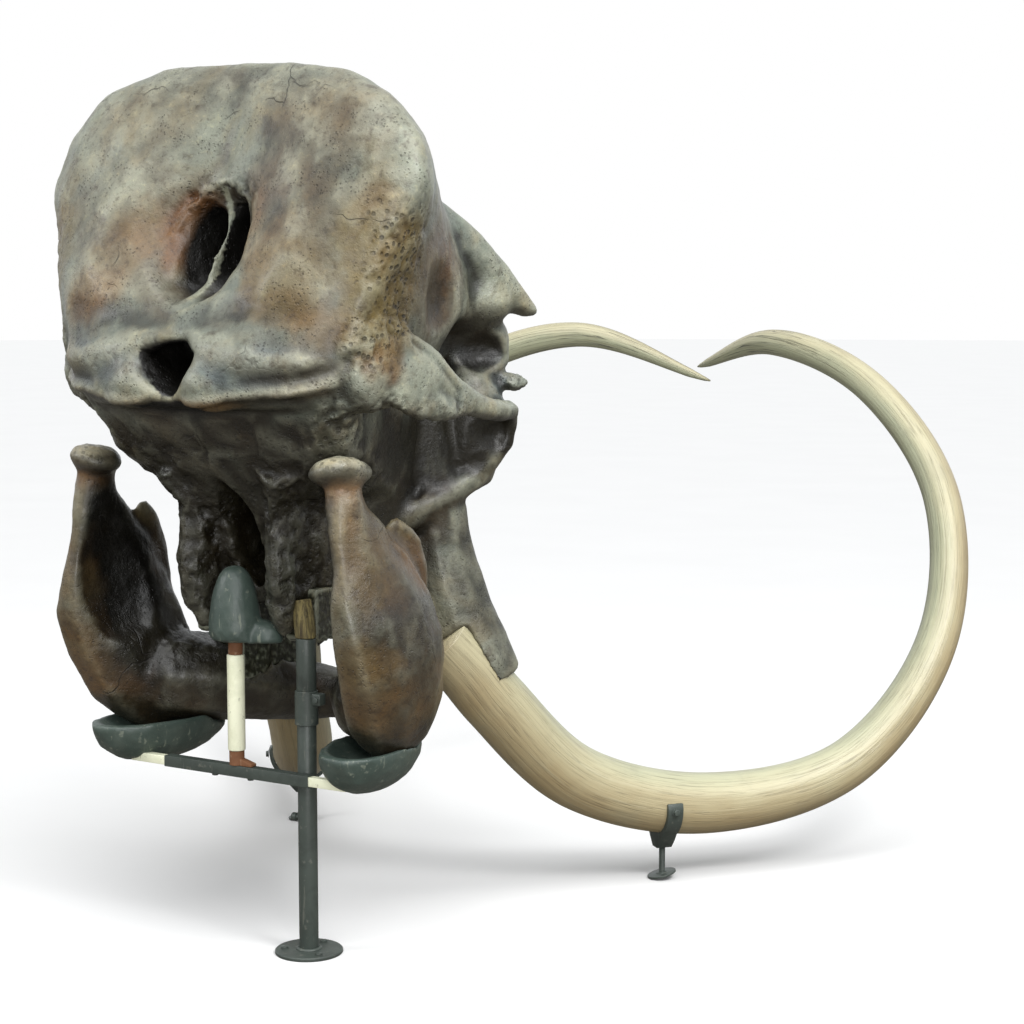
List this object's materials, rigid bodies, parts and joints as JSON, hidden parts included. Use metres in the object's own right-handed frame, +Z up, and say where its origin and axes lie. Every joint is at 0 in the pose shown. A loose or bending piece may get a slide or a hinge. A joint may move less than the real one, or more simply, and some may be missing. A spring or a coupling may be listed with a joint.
{
  "type": "fossil mammoth skull on stand",
  "caption": "Mammoth skull with its jaw, teeth and two curved tusks, held by a steel floor post with padded cradles and small tusk feet.",
  "frame": {"origin": "centre of the underside of the main post's floor flange", "axes": "+Z up, the face looks along -Y, the animal's left is +X; the skull's midplane is at X = +168 mm"},
  "size_m": [2.16, 2.5538, 1.9477],
  "materials": {
    "bone": "mineralised bone, slate grey to ochre, satin",
    "jaw_bone": "mineralised bone, dark brown with pale ridges, satin",
    "ivory": "polished tusk ivory, grey-green to golden",
    "enamel": "dark stained enamel ridges",
    "steel": "dark grey-green satin paint",
    "padding": "dark grey-green, scuffed",
    "cream_paint": "pale cream-green paint",
    "rust": "rusty brown",
    "wood": "rough olive-brown wood"
  },
  "bodies": {
    "root": {"cranium": "bone", "mandible": "jaw_bone", "tusk_right": "ivory", "tusk_left": "ivory", "upper_molar_right": "enamel", "upper_molar_left": "enamel", "lower_molar_right": "enamel", "lower_molar_left": "enamel", "jaw_cradle_right": "padding", "jaw_cradle_left": "padding", "prop_pad": "padding", "cradle_arm_right": "cream_paint", "cradle_arm_left": "cream_paint", "prop_tube": "cream_paint", "tusk_saddle_right": "steel", "tusk_saddle_left": "steel", "saddle_bolt_right": "steel", "saddle_bolt_left": "steel", "tusk_foot_right": "steel", "tusk_foot_left": "steel", "tusk_rod_right": "steel", "tusk_rod_left": "steel", "floor_flange": "steel", "main_post": "steel", "post_sleeve": "steel", "upper_post": "steel", "thumb_screw": "steel", "cross_bar": "steel", "bar_screw_1": "steel", "bar_screw_2": "steel", "prop_ferrule_lower": "rust", "prop_ferrule_upper": "rust", "head_wedge": "wood"}
  },
  "joints": []
}
